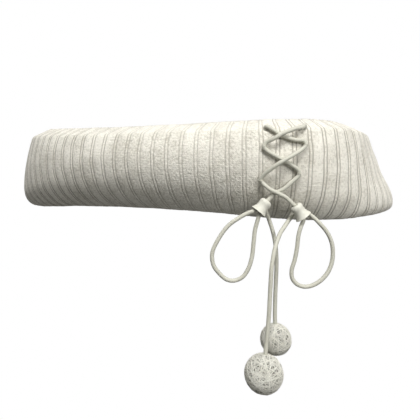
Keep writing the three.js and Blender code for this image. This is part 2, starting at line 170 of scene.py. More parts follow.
def knit_normal(along, height, step=0.05):
    across = on_knit(along + step, height) - on_knit(along - step, height)
    upward = on_knit(along, height + step) - on_knit(along, height - step)
    normal = np.cross(across, upward)
    return normal / np.linalg.norm(normal)


def off_knit(place):
    along, height, lift = place
    return on_knit(along, height) + lift * knit_normal(along, height)


def in_band(place):
    along, height, depth = place
    return band_point(angle_along(along), depth, height)


print("lacing at", LACING_ORIGIN.round(1))

# %% [markdown]
# ## The routes of the cords
# A cord has a real length and thickness, so its route comes before its looks. Each free cord is a list
# of given points, the same as in the CAD model: the two tails hang from knots behind the
# bells, and each loop leaves its bell's mouth and comes back to it. A loop's first and last points lie
# inside the knot, so that it stays joined when the bell slides up.

# %% Cord routes
CORD = 1.8
LEFT_LOOP = [
    (-11.0, 0.3, -17.9), (-12.3, 0.6, -18.3), (-14.4, 0.6, -18.9), (-18.6, 0.5, -21.1),
    (-23.4, 0.5, -24.6), (-27.3, 0.5, -29.8), (-30.2, 0.5, -36.2), (-29.7, 0.5, -41.3),
    (-27.1, 0.5, -45.0), (-23.8, 0.5, -47.6), (-20.5, 0.5, -47.9), (-17.2, 0.5, -46.3),
    (-14.8, 0.5, -42.8), (-13.3, 0.5, -37.8), (-12.6, 0.5, -31.8), (-12.0, 0.5, -26.4),
    (-11.0, 0.6, -22.6), (-10.4, 0.6, -20.4), (-10.1, 0.3, -18.7),
]
RIGHT_LOOP = [
    (9.5, 0.8, -19.4), (11.1, 1.0, -19.8), (12.9, 1.3, -21.1), (15.4, 1.5, -23.6),
    (18.4, 1.5, -27.2), (20.3, 1.5, -31.3), (20.9, 1.5, -35.6), (20.4, 1.5, -40.2),
    (18.7, 1.5, -44.3), (15.7, 1.5, -47.7), (12.3, 1.5, -49.7), (8.9, 1.5, -50.3),
    (5.8, 1.5, -49.3), (3.7, 1.5, -46.8), (3.4, 1.5, -43.4), (4.7, 1.5, -38.9),
    (5.7, 1.5, -33.6), (6.3, 1.5, -28.6), (7.3, 1.4, -25.0), (8.5, 1.0, -22.2),
    (8.4, 0.8, -20.4),
]
LEFT_TAIL = [
    (-6.8, -5.0, -17.6), (-6.1, -5.1, -19.7), (-4.9, -5.0, -23.2), (-3.6, -5.0, -27.2),
    (-2.7, -5.0, -31.0), (-2.1, -5.0, -35.0), (-1.8, -5.0, -42.0), (-2.1, -5.0, -50.0),
    (-2.4, -5.0, -58.0), (-2.5, -5.0, -65.0), (-2.2, -5.0, -73.0),
]
RIGHT_TAIL = [
    (6.5, -4.9, -18.6), (4.4, -4.0, -21.3), (1.5, -1.8, -24.6), (-1.2, 0.2, -27.9),
    (-2.9, 1.9, -31.1), (-4.2, 3.6, -34.4), (-5.1, 4.8, -37.8), (-5.8, 5.6, -41.2),
    (-6.2, 6.0, -46.0), (-6.6, 6.1, -53.0), (-7.1, 6.1, -62.0), (-7.9, 6.1, -71.0),
    (-8.6, 6.1, -78.2), (-9.0, 6.1, -83.0),
]


def smooth_route(points, spacing):
    """A centripetal Catmull-Rom curve through the points, as points a spacing apart."""
    points = [np.asarray(p, float) for p in points]
    points = [2 * points[0] - points[1], *points, 2 * points[-1] - points[-2]]
    fine = []
    for p0, p1, p2, p3 in zip(points, points[1:], points[2:], points[3:]):
        knots = [0.0]
        for a, b in ((p0, p1), (p1, p2), (p2, p3)):
            knots.append(knots[-1] + math.sqrt(np.linalg.norm(b - a)))
        t0, t1, t2, t3 = knots
        for t in np.linspace(t1, t2, 24, endpoint=False):
            a1 = (t1 - t) / (t1 - t0) * p0 + (t - t0) / (t1 - t0) * p1
            a2 = (t2 - t) / (t2 - t1) * p1 + (t - t1) / (t2 - t1) * p2
            a3 = (t3 - t) / (t3 - t2) * p2 + (t - t2) / (t3 - t2) * p3
            b1 = (t2 - t) / (t2 - t0) * a1 + (t - t0) / (t2 - t0) * a2
            b2 = (t3 - t) / (t3 - t1) * a2 + (t - t1) / (t3 - t1) * a3
            fine.append((t2 - t) / (t2 - t1) * b1 + (t - t1) / (t2 - t1) * b2)
    fine.append(points[-2])
    fine = np.array(fine)
    lengths = np.concatenate([[0], np.cumsum(np.linalg.norm(np.diff(fine, axis=0), axis=1))])
    count = max(2, round(lengths[-1] / spacing) + 1)
    places = np.linspace(0, lengths[-1], count)
    return np.stack([np.interp(places, lengths, fine[:, i]) for i in range(3)], -1)


def route_length(route):
    return float(np.linalg.norm(np.diff(route, axis=0), axis=1).sum())


for name, points in (("left loop", LEFT_LOOP), ("right loop", RIGHT_LOOP)):
    print(name, round(route_length(smooth_route(points, 1)), 1), "mm")

# %% [markdown]
# ## Light and floor
# Soft daylight from above shapes a pale object best: the rolled top edge glows and the underside falls
# into shade. The camera sees a plain white sky, but the light that reaches the headband comes from a
# gradient, bright overhead and dim below. The Light Path node keeps the two apart.

# %% The sky
SKY_STRENGTH = 0.83
# (share of the way from straight down to straight up, colour)
SKY_SHADES = [(0.25, (0.03, 0.03, 0.03)), (0.55, (0.26, 0.26, 0.255)), (1.0, (0.78, 0.78, 0.77))]

scene = bpy.context.scene
scene.view_settings.view_transform = "Standard"
world = bpy.data.worlds.new("studio")
scene.world = world
world.use_nodes = True
sky = world.node_tree
sky.nodes.clear()
sky_output = sky.nodes.new("ShaderNodeOutputWorld")
seen = sky.nodes.new("ShaderNodeBackground")
seen.inputs["Color"].default_value = (1, 1, 1, 1)
lit = sky.nodes.new("ShaderNodeBackground")
lit.inputs["Strength"].default_value = SKY_STRENGTH
split = sky.nodes.new("ShaderNodeMixShader")
rays = sky.nodes.new("ShaderNodeLightPath")
direction = sky.nodes.new("ShaderNodeTexCoord")
height_axis = sky.nodes.new("ShaderNodeSeparateXYZ")
shades = sky.nodes.new("ShaderNodeValToRGB")
half = sky.nodes.new("ShaderNodeMath")
half.operation = "MULTIPLY_ADD"
half.inputs[1].default_value = 0.5
half.inputs[2].default_value = 0.5
shades.color_ramp.elements.new(0.5)
for stop, (share, colour) in zip(shades.color_ramp.elements, SKY_SHADES):
    stop.position = share
    stop.color = (*colour, 1)
sky.links.new(direction.outputs["Generated"], height_axis.inputs[0])
sky.links.new(height_axis.outputs["Z"], half.inputs[0])
sky.links.new(half.outputs[0], shades.inputs["Fac"])
sky.links.new(shades.outputs["Color"], lit.inputs["Color"])
sky.links.new(rays.outputs["Is Camera Ray"], split.inputs[0])
sky.links.new(lit.outputs[0], split.inputs[1])
sky.links.new(seen.outputs[0], split.inputs[2])
sky.links.new(split.outputs[0], sky_output.inputs["Surface"])
print("sky strength:", SKY_STRENGTH)

# %% [markdown]
# Two disk lamps, one high in front and one low at the right, give the ribs and the cords their shape. A
# lamp shines along its own -Z, so its rotation comes from the direction to the middle of the object.

# %% Lamps
LAMP_SIZE = 0.3


def area_lamp(name, place, power):
    data = bpy.data.lights.new(name, "AREA")
    data.shape = "DISK"
    data.size = LAMP_SIZE
    data.energy = power
    lamp = bpy.data.objects.new(name, data)
    lamp.location = place
    lamp.rotation_euler = (-Vector(place)).to_track_quat("-Z", "Y").to_euler()
    scene.collection.objects.link(lamp)


area_lamp("upper_lamp", (0.26, -0.5, 0.72), 6.8)
area_lamp("right_lamp", (0.8, -0.5, 0.3), 3.8)

# %% [markdown]
# The pale floor lies well under the hanging balls. It shows as white, like the sky, but it throws back
# only the light of a greyer floor, so that the band's underside stays in shade.

# %% The floor
FLOOR_SIZE, FLOOR_HEIGHT = 3.0, -0.3

bpy.ops.object.select_all(action="DESELECT")
bpy.ops.mesh.primitive_plane_add(size=FLOOR_SIZE, location=(0, 0, FLOOR_HEIGHT))
floor = bpy.context.active_object
floor.name = "floor"
floor_material = bpy.data.materials.new("pale_floor")
floor_material.use_nodes = True
floor_tree = floor_material.node_tree
floor_shader = floor_tree.nodes["Principled BSDF"]
floor_shader.inputs["Base Color"].default_value = (0.16, 0.16, 0.155, 1)
floor_shader.inputs["Roughness"].default_value = 0.9
floor_white = floor_tree.nodes.new("ShaderNodeEmission")
floor_white.inputs["Color"].default_value = (1, 1, 1, 1)
floor_rays = floor_tree.nodes.new("ShaderNodeLightPath")
floor_mix = floor_tree.nodes.new("ShaderNodeMixShader")
floor_tree.links.new(floor_rays.outputs["Is Camera Ray"], floor_mix.inputs[0])
floor_tree.links.new(floor_shader.outputs[0], floor_mix.inputs[1])
floor_tree.links.new(floor_white.outputs[0], floor_mix.inputs[2])
floor_tree.links.new(floor_mix.outputs[0], floor_tree.nodes["Material Output"].inputs["Surface"])
floor.data.materials.append(floor_material)
print("floor at", FLOOR_HEIGHT, "m")

# %% [markdown]
# ## Node groups that several finishes share
# Yarn, thread, cord and knit are all spun fibre, so they share one group of tiny flecks: a soft colour
# change and a small height. Knitted surfaces share a second group, which draws rows of stitches from the
# piece's own UV map, so that the stitches follow the surface. A third draws the slanting strands of
# twisted yarn, and a fourth paints shade into a colour where a surface is hollow. Building each group
# once keeps the finishes alike, and each material gives it its own scale.

# %% Group helpers
def new_group(name, inputs, outputs):
    group = bpy.data.node_groups.new(name, "ShaderNodeTree")
    for label, kind, value in inputs:
        socket = group.interface.new_socket(label, in_out="INPUT", socket_type=kind)
        if value is not None:
            socket.default_value = value
    for label, kind in outputs:
        group.interface.new_socket(label, in_out="OUTPUT", socket_type=kind)
    source = group.nodes.new("NodeGroupInput")
    result = group.nodes.new("NodeGroupOutput")
    return group, source, result


def maths(tree, operation, a, b=None):
    """One Math node. Each input is a number or an output socket."""
    node = tree.nodes.new("ShaderNodeMath")
    node.operation = operation
    for socket, value in zip(node.inputs, (a, b)):
        if value is None:
            continue
        if isinstance(value, (int, float)):
            socket.default_value = value
        else:
            tree.links.new(value, socket)
    return node.outputs[0]


print("group helpers ready")

# %% [markdown]
# Flecks are noise in two sizes. Fine noise alone looks like sand, and the broad noise adds the slightly
# uneven tone of real wool. A knit stitch is a V of two legs, so its group mirrors a slanting wave about
# the middle of each wale, which is a column of stitches.

# %% Flecks and stitches
def fibre_group():
    group, source, result = new_group(
        "fibre_flecks",
        [("Vector", "NodeSocketVector", None), ("Scale", "NodeSocketFloat", 1500.0)],
        [("Shade", "NodeSocketFloat"), ("Height", "NodeSocketFloat")],
    )
    fine = group.nodes.new("ShaderNodeTexNoise")
    fine.inputs["Detail"].default_value = 3.0
    fine.inputs["Roughness"].default_value = 0.65
    broad = group.nodes.new("ShaderNodeTexNoise")
    broad.inputs["Detail"].default_value = 1.0
    group.links.new(source.outputs["Vector"], fine.inputs["Vector"])
    group.links.new(source.outputs["Scale"], fine.inputs["Scale"])
    group.links.new(source.outputs["Vector"], broad.inputs["Vector"])
    group.links.new(maths(group, "MULTIPLY", source.outputs["Scale"], 0.12), broad.inputs["Scale"])
    both = maths(group, "MULTIPLY", fine.outputs["Fac"], 0.7)
    slow = maths(group, "MULTIPLY", broad.outputs["Fac"], 0.3)
    group.links.new(maths(group, "ADD", both, slow), result.inputs["Shade"])
    group.links.new(fine.outputs["Fac"], result.inputs["Height"])
    return group


def stitch_group():
    """V-shaped knit stitches on a UV map in millimetres: u across the wales, v along them."""
    group, source, result = new_group(
        "knit_stitches",
        [
            ("UV", "NodeSocketVector", None),
            ("Wale Width", "NodeSocketFloat", 0.9),
            ("Course Height", "NodeSocketFloat", 0.8),
        ],
        [("Height", "NodeSocketFloat"), ("Gap", "NodeSocketFloat")],
    )
    parts = group.nodes.new("ShaderNodeSeparateXYZ")
    group.links.new(source.outputs["UV"], parts.inputs[0])
    across = maths(group, "DIVIDE", parts.outputs["X"], source.outputs["Wale Width"])
    within = maths(group, "SUBTRACT", maths(group, "FRACT", across), 0.5)
    side = maths(group, "ABSOLUTE", within)
    along = maths(group, "DIVIDE", parts.outputs["Y"], source.outputs["Course Height"])
    slanted = maths(group, "SUBTRACT", along, maths(group, "MULTIPLY", side, 1.5))
    wave = maths(group, "SINE", maths(group, "MULTIPLY", slanted, 2 * math.pi))
    leg = maths(group, "SINE", maths(group, "MULTIPLY", side, 2 * math.pi))
    rising = maths(group, "ADD", maths(group, "MULTIPLY", wave, 0.35), 0.65)
    lift = maths(group, "MULTIPLY", rising, leg)
    group.links.new(lift, result.inputs["Height"])
    group.links.new(maths(group, "SUBTRACT", 1.0, lift), result.inputs["Gap"])
    return group


FIBRE = fibre_group()
STITCH = stitch_group()
print("groups:", FIBRE.name, STITCH.name)

# %% [markdown]
# Twisted yarn shows its strands as slanting bands. The hollow group paints shade into a hollow, where
# less light reaches, so that group only mixes two colours by a mask.

# %% Strands and hollows
def strand_group():
    """Slanting strands on a UV map in millimetres, as twisted yarn has."""
    group, source, result = new_group(
        "spun_strands",
        [("UV", "NodeSocketVector", None), ("Scale", "NodeSocketFloat", 1.0)],
        [("Height", "NodeSocketFloat")],
    )
    strands = group.nodes.new("ShaderNodeTexWave")
    strands.wave_type = "BANDS"
    strands.bands_direction = "DIAGONAL"
    strands.inputs["Distortion"].default_value = 0.4
    group.links.new(source.outputs["UV"], strands.inputs["Vector"])
    group.links.new(source.outputs["Scale"], strands.inputs["Scale"])
    group.links.new(strands.outputs["Fac"], result.inputs["Height"])
    return group


def hollow_group():
    """Mixes a colour towards its shaded tone by how hollow the surface is."""
    group, source, result = new_group(
        "hollow_shade",
        [
            ("Color", "NodeSocketColor", None),
            ("Shade", "NodeSocketColor", None),
            ("Hollow", "NodeSocketFloat", 0.0),
            ("Strength", "NodeSocketFloat", 1.0),
        ],
        [("Color", "NodeSocketColor")],
    )
    mix = group.nodes.new("ShaderNodeMix")
    mix.data_type = "RGBA"
    amount = maths(group, "MULTIPLY", source.outputs["Hollow"], source.outputs["Strength"])
    group.links.new(amount, mix.inputs["Factor"])
    group.links.new(source.outputs["Color"], mix.inputs["A"])
    group.links.new(source.outputs["Shade"], mix.inputs["B"])
    group.links.new(mix.outputs["Result"], result.inputs["Color"])
    return group


STRANDS = strand_group()
HOLLOW = hollow_group()
print("groups:", STRANDS.name, HOLLOW.name)

# %% [markdown]
# ## Finishes
# Each finish is its own material with a Principled shader. Colour comes from a ramp between a shaded
# and a lit tone of the same ivory, driven by the flecks, and the same flecks and stitches drive a Bump
# node. Values that are the same all over, such as roughness and sheen, stay on the shader's sockets.

# %% Material helpers
def fabric(name, dark, light, roughness=0.9, sheen=0.25):
    material = bpy.data.materials.new(name)
    material.use_nodes = True
    tree = material.node_tree
    shader = tree.nodes["Principled BSDF"]
    shader.inputs["Roughness"].default_value = roughness
    shader.inputs["Sheen Weight"].default_value = sheen
    shader.inputs["Sheen Roughness"].default_value = 0.5
    shader.inputs["Specular IOR Level"].default_value = 0.25
    tones = tree.nodes.new("ShaderNodeValToRGB")
    tones.color_ramp.elements[0].position = 0.36
    tones.color_ramp.elements[0].color = (*dark, 1)
    tones.color_ramp.elements[1].position = 0.62
    tones.color_ramp.elements[1].color = (*light, 1)
    tree.links.new(tones.outputs["Color"], shader.inputs["Base Color"])
    return material, tree, shader, tones


def place_group(tree, group, values):
    node = tree.nodes.new("ShaderNodeGroup")
    node.node_tree = group
    for label, value in values.items():
        if isinstance(value, (int, float)):
            node.inputs[label].default_value = value
        else:
            tree.links.new(value, node.inputs[label])
    return node


def bump(tree, shader, height, distance, strength=1.0, below=None):
    node = tree.nodes.new("ShaderNodeBump")
    node.inputs["Distance"].default_value = distance
    node.inputs["Strength"].default_value = strength
    tree.links.new(height, node.inputs["Height"])
    if below is not None:
        tree.links.new(below, node.inputs["Normal"])
    tree.links.new(node.outputs["Normal"], shader.inputs["Normal"])
    return node.outputs["Normal"]


def coordinates(tree, output="Object"):
    return tree.nodes.new("ShaderNodeTexCoord").outputs[output]


print("material helpers ready")

# %% [markdown]
# The rib knit is the main surface. Its mesh carries an attribute called groove, which is 1 at the bottom
# of each groove. Shade is painted into the colour there, where two rows of loops meet. Knit stitches and
# fibre flecks give the fine relief between the grooves, and a little shade is painted into the gaps
# between stitches.

# %% Knit materials
KNIT_DARK, KNIT_LIGHT = (0.52, 0.49, 0.41), (0.86, 0.83, 0.74)
# GROOVE_SHADE is the colour of the painted shade at the bottom of a rib groove.
GROOVE_SHADE = (0.12, 0.10, 0.075)


def shade_grooves(tree, shader, tones, shade, strength):
    """Paints shade into the base colour by the mesh's own groove attribute."""
    groove = tree.nodes.new("ShaderNodeAttribute")
    groove.attribute_name = "groove"
    values = {"Color": tones.outputs["Color"], "Hollow": groove.outputs["Fac"], "Strength": strength}
    hollows = place_group(tree, HOLLOW, values)
    hollows.inputs["Shade"].default_value = (*shade, 1)
    tree.links.new(hollows.outputs["Color"], shader.inputs["Base Color"])


def knit_material(name, wale, course, with_groove_shade):
    material, tree, shader, tones = fabric(name, KNIT_DARK, KNIT_LIGHT)
    uv = coordinates(tree, "UV")
    flecks = place_group(tree, FIBRE, {"Vector": coordinates(tree), "Scale": 950.0})
    stitches = place_group(tree, STITCH, {"UV": uv, "Wale Width": wale, "Course Height": course})
    # Painted shade: the colour is a little darker in the gaps between the stitch legs.
    gap_shade = maths(tree, "MULTIPLY", stitches.outputs["Gap"], 0.08)
    shade = maths(tree, "SUBTRACT", flecks.outputs["Shade"], gap_shade)
    tree.links.new(maths(tree, "ADD", shade, 0.10), tones.inputs["Fac"])
    if with_groove_shade:
        # Painted shade in the rib grooves, broken up by the flecks.
        broken_shade = maths(tree, "ADD", maths(tree, "MULTIPLY", flecks.outputs["Height"], 1.5), 0.1)
        shade_grooves(tree, shader, tones, GROOVE_SHADE, broken_shade)
    fine = bump(tree, shader, flecks.outputs["Height"], 0.6 * MM)
    bump(tree, shader, stitches.outputs["Height"], 0.1 * MM, below=fine)
    return material


RIB_KNIT = knit_material("rib_knit", 0.91, 0.80, True)
LINING_KNIT = knit_material("lining_knit", 0.70, 0.60, False)
print("knit materials:", RIB_KNIT.name, LINING_KNIT.name)

# %% [markdown]
# The cord, the yarn and the sewing thread are spun or braided. The strands group reads the cord's own UV
# map, so that the strands turn with every bend. The hidden tapes and the padding need only the flecks.

# %% Cord, yarn, thread, bell and hidden layers
def spun_material(name, dark, light, roughness, scale, relief, twist=0.0, shade_colour=None):
    """Relief is of the flecks and twist of the strands, in millimetres. Shade colour, when given, is
    painted shade in the hollows.
    """
    material, tree, shader, tones = fabric(name, dark, light, roughness, sheen=0.15)
    flecks = place_group(tree, FIBRE, {"Vector": coordinates(tree), "Scale": scale})
    tree.links.new(flecks.outputs["Shade"], tones.inputs["Fac"])
    normal = bump(tree, shader, flecks.outputs["Height"], relief * MM)
    if twist > 0:
        strands = place_group(tree, STRANDS, {"UV": coordinates(tree, "UV"), "Scale": 1.0})
        bump(tree, shader, strands.outputs["Height"], twist * MM, below=normal)
    if shade_colour is not None:
        shade_grooves(tree, shader, tones, shade_colour, 1.0)
    return material


print("spun material helper ready")

# %% [markdown]
# All the finishes are ivories, but not the same one. The yarn is the whitest, the cord is a little
# darker and smoother, the bells are moulded plastic with a soft gloss, and the hidden tapes are greyer.

# %% The finishes
CORD_DARK, CORD_LIGHT = (0.49, 0.48, 0.405), (0.59, 0.58, 0.495)
YARN_DARK, YARN_LIGHT, YARN_SHADE = (0.86, 0.84, 0.73), (0.98, 0.965, 0.88), (0.09, 0.08, 0.05)
THREAD_DARK, THREAD_LIGHT = (0.62, 0.60, 0.50), (0.82, 0.80, 0.70)
TAPE_DARK, TAPE_LIGHT = (0.66, 0.65, 0.60), (0.80, 0.79, 0.74)
FOAM_DARK, FOAM_LIGHT = (0.70, 0.69, 0.65), (0.88, 0.87, 0.84)
BELL_DARK, BELL_LIGHT = (0.60, 0.59, 0.51), (0.66, 0.65, 0.57)

CORD_FINISH = spun_material("cord", CORD_DARK, CORD_LIGHT, 0.38, 1800.0, 0.06, twist=0.05)
YARN = spun_material("yarn", YARN_DARK, YARN_LIGHT, 0.9, 1600.0, 0.12, twist=0.08, shade_colour=YARN_SHADE)
THREAD = spun_material("thread", THREAD_DARK, THREAD_LIGHT, 0.7, 2500.0, 0.05, twist=0.05)
ELASTIC = spun_material("elastic", TAPE_DARK, TAPE_LIGHT, 0.8, 900.0, 0.15)
PADDING = spun_material("padding", FOAM_DARK, FOAM_LIGHT, 0.95, 400.0, 0.4)
BELL = spun_material("bell", BELL_DARK, BELL_LIGHT, 0.4, 500.0, 0.03)
print("materials:", len(bpy.data.materials))

for node_name, material in (
    ("padding", PADDING),
    ("elastic_tape", ELASTIC),
    ("lacing_backing", ELASTIC),
    ("left_end_knot", CORD_FINISH),
    ("right_end_knot", CORD_FINISH),
):
    nodes[node_name].data.materials.clear()
    nodes[node_name].data.materials.append(material)

# %% [markdown]
# ## Meshes from grids
# A knitted ring and a length of cord are both a grid that is wrapped: rows of points, each row joined to
# the next. One helper makes any of them, with a UV map in millimetres, so that stitches keep their size.

# %% Grids
def mesh_piece(name, points, faces, material, uvs=None):
    mesh = bpy.data.meshes.new(name)
    mesh.from_pydata((np.asarray(points) * MM).tolist(), [], faces)
    if uvs is not None:
        layer = mesh.uv_layers.new(name="UVMap")
        layer.data.foreach_set("uv", np.asarray(uvs, np.float32).ravel())
    mesh.materials.append(material)
    mesh.polygons.foreach_set("use_smooth", [True] * len(mesh.polygons))
    piece = bpy.data.objects.new(name, mesh)
    scene.collection.objects.link(piece)
    return piece


def grid_faces(rows, columns):
    """Quads of a grid that closes on itself both ways, with each corner's row and column."""
    faces, corners = [], []
    for r in range(rows):
        for c in range(columns):
            square = ((r + 1, c), (r + 1, c + 1), (r, c + 1), (r, c))
            faces.append([(i % rows) * columns + j % columns for i, j in square])
            corners.extend(square)
    return faces, corners


def belongs(piece, body, node):
    """Puts the piece on the body that moves it, and hides the CAD node that it stands for."""
    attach(piece, body)
    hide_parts(node)


print("grid helpers ready")

# %% [markdown]
# A cord's surface is a row of rings along its route. Each ring takes its direction from the one before,
# because a direction worked out afresh at each point would twist the cord at its bends.

# %% Tubes
def cross_sections(route, radii, sides, hint):
    """Rings of points round a route. Each is turned as little as possible from the one before."""
    tangents = np.gradient(route, axis=0)
    tangents /= np.linalg.norm(tangents, axis=1, keepdims=True)
    side = np.cross(tangents[0], hint)
    turns = np.arange(sides) * 2 * math.pi / sides
    rings = []
    for centre, tangent, radius in zip(route, tangents, radii):
        side = side - tangent * side.dot(tangent)
        side /= np.linalg.norm(side)
        other = np.cross(tangent, side)
        rings.append(centre + radius * (np.outer(np.cos(turns), side) + np.outer(np.sin(turns), other)))
    return rings


def ring_quads(rings, sides, first=0):
    """Quads that join each ring to the next, with each corner's place round and along."""
    faces, corners = [], []
    for r in range(rings - 1):
        for c in range(sides):
            square = ((c, r), (c + 1, r), (c + 1, r + 1), (c, r + 1))
            faces.append([first + j * sides + i % sides for i, j in square])
            corners.extend(square)
    return faces, corners


ROUNDED = [0.35, 0.75]  # share of the full radius at the first rings of a rounded end
TUBE_HINT = [0.3, 0.5, 0.81]


def tube(name, points, diameter, material, sides=14, spacing=0.5, rounded=True):
    """A cord that follows a smooth route."""
    route = smooth_route(points, spacing)
    shares = np.ones(len(route))
    if rounded:
        shares[: len(ROUNDED)] = ROUNDED
        shares[-len(ROUNDED) :] = np.minimum(shares[-len(ROUNDED) :], ROUNDED[::-1])
    rings = cross_sections(route, diameter / 2 * shares, sides, TUBE_HINT)
    faces, corners = ring_quads(len(rings), sides)
    turn = math.pi * diameter / sides
    uvs = [(c * turn, r * spacing) for c, r in corners]
    first_centre = len(rings) * sides
    last_ring = first_centre - sides
    for c in range(sides):
        after = (c + 1) % sides
        faces.append([first_centre, after, c])
        faces.append([first_centre + 1, last_ring + c, last_ring + after])
        uvs += [(c * turn, 0)] * 6
    points_out = np.concatenate([*rings, route[[0]], route[[-1]]])
    return mesh_piece(name, points_out, faces, material, uvs), route


print("tube ends are rounded over", len(ROUNDED), "rings")

# %% [markdown]
# ## The rib knit
# Rib knit repeats a wide smooth rib, a groove, a narrow rib and another groove, 84 times round the band.
# The ribs are real geometry, because their grooves show on the silhouette of both rolled
# edges: the grid has columns only where a rib's profile bends, and rows round the whole section.

# %% Rib profile
REPEATS = 84
RIB_OFFSET = -2.1  # from the middle of the lacing to the nearest narrow rib
NARROW_HALF = 0.11  # share of a repeat from the narrow rib's middle to its groove
GROOVE_DEPTH = 0.42
# (share of the repeat, height in millimetres, painted shade)
HALF_PROFILE = [
    (0.0, 0.02, 0.0),
    (0.05, -0.01, 0.0),
    (0.08, -0.12, 0.25),
    (NARROW_HALF - 0.012, -GROOVE_DEPTH, 1.0),
    (NARROW_HALF + 0.012, -GROOVE_DEPTH, 1.0),
    (0.145, -0.14, 0.25),
    (0.19, -0.03, 0.0),
    (0.27, 0.02, 0.0),
    (0.38, 0.05, 0.0),
]
PROFILE = HALF_PROFILE + [(0.5, 0.05, 0.0)] + [(1 - p, h, d) for p, h, d in HALF_PROFILE[:0:-1]]


def arc(centre, radii, turns):
    """Points of an elliptic arc in the section, from one turn to another in degrees."""
    a = np.radians(np.asarray(turns, float))
    return [(centre[0] + radii[0] * x, centre[1] + radii[1] * y) for x, y in zip(np.cos(a), np.sin(a))]


def knit_section():
    """(depth, height, rib share) round the closed section, over the top and down the outside first."""
    outer = [(-THICKNESS, LIP), (-THICKNESS, 18.4), (-THICKNESS + 0.25, 19.6)]
    outer += [(-9.4, 20.6), (-TOP_ROLL, TOP_EDGE)]
    slope = np.array([TOP_ROLL, TOP_CREASE - TOP_EDGE])
    start = np.array([-TOP_ROLL, TOP_EDGE])
    outer += [tuple(start + slope * share) for share in (0.2, 0.4, 0.6, 0.78, 0.9)]
    outer += [(-0.28, 16.45), (-0.06, 15.8), (0.0, 14.8)]
    outer += [(0.0, h) for h in np.linspace(13, BOTTOM_CREASE, 12)]
    roll_height = BOTTOM_EDGE + BOTTOM_CREASE
    outer += arc((-BOTTOM_ROLL, BOTTOM_CREASE), (BOTTOM_ROLL, roll_height), np.linspace(-9, -90, 10))
    outer += [(-THICKNESS + 0.5, -BOTTOM_EDGE + 0.3), (-THICKNESS, -BOTTOM_EDGE + 1.2)]
    outer += [(-THICKNESS, -LIP)]
    inner = [
        (KNIT - THICKNESS, -LIP),
        (KNIT - THICKNESS, -LIP - 0.8),
        (-4.63, -15.9),
        (-KNIT, -8),
        (-KNIT, 0),
        (-KNIT, 8),
        (-KNIT, 15.3),
        (-8.0, 18.3),
        (KNIT - THICKNESS, LIP),
    ]
    rows = [(d, h, 1.0) for d, h in outer] + [(d, h, 0.0) for d, h in inner]
    for i in (0, len(outer) - 1):
        rows[i] = (*rows[i][:2], 0.4)
    return rows


print("section rows:", len(knit_section()), "columns:", REPEATS * len(PROFILE))

# %% [markdown]
# Real knit is never exact. Slow waves of a fraction of a millimetre, the same on every run because their
# phases come from a seeded generator, move the grooves a little sideways and swell the ribs.

# %% Slow waves
chance = random.Random(7)
WAVES = [(chance.uniform(0.5, 3.0), chance.uniform(0.5, 2.5), chance.uniform(0, 6.3)) for _ in range(14)]


def slow_noise(distance, height, kind):
    """A smooth change from about -1 to 1 over the band, different for each kind."""
    total = np.zeros(np.broadcast(distance, height).shape)
    for i, (across, upward, phase) in enumerate(WAVES[kind::2]):
        turns = round(across * 12)
        round_band = 2 * math.pi * distance / GIRTH * turns
        total = total + np.sin(round_band + height * upward * 0.28 + phase + i)
    return total / 4


print("waves:", len(WAVES))

# %% [markdown]
# The padding fills the knit most at the front, which pulls the grooves open there, so that they are
# shallower; the grooves' painted shade is narrow and faint there and wider elsewhere. The lace presses a
# small hollow into the knit where it goes in.

# %% The knit cover
FULL_ANGLE = math.radians(-65)
WANDER, SWELL = 0.16, 0.14
HOLES = [(-7.3, TOP_CREASE), (10.5, TOP_CREASE + 0.2)]
HOLE_DEPTH, HOLE_REACH = 1.1, 2.4


def lengths_along(section):
    """The distance of each section point from the first one, along the section."""
    return np.concatenate([[0], np.cumsum(np.linalg.norm(np.diff(section, axis=0), axis=1))])


def press_holes(points, rib):
    for along, up in HOLES:
        centre, normal = on_knit(along, up), knit_normal(along, up)
        reach = np.linalg.norm(points - centre, axis=-1)
        press = HOLE_DEPTH * np.clip(1 - reach / HOLE_REACH, 0, 1) ** 1.5 * (rib[:, None] > 0.5)
        points = points - press[..., None] * normal
    return points


def ribbed_surface(distance, heights, painted_shade):
    """Points and painted groove shade of the cover: a row for each section point, a column for each
    distance.
    """
    section = np.array(knit_section())
    rib, middle = section[:, 2], section[:, :2]
    across = np.roll(middle, -1, axis=0) - np.roll(middle, 1, axis=0)
    outward = np.stack([-across[:, 1], across[:, 0]], -1)
    outward /= np.linalg.norm(outward, axis=1, keepdims=True)
    lengths = lengths_along(middle)
    wander = WANDER * slow_noise(distance[None, :], lengths[:, None], 0)
    swell = SWELL * slow_noise(distance[None, :], lengths[:, None], 1)
    angle = angle_along((distance[None, :] + wander + GIRTH / 2) % GIRTH - GIRTH / 2)
    fullness = np.maximum(0, np.cos(angle - FULL_ANGLE)) ** 6
    relief = rib[:, None] * (heights[None, :] * (1 - 0.5 * fullness) + swell)
    # Painted groove shade: wider and darker away from the front, narrower and fainter at the front.
    shade = painted_shade[None, :] ** (0.2 + 0.8 * fullness) * (1 - 0.55 * fullness) * rib[:, None]
    placed = middle[:, None, :] + relief[..., None] * outward[:, None, :]
    points = band_point(angle, placed[..., 0], placed[..., 1])
    return press_holes(points, rib), shade, lengths


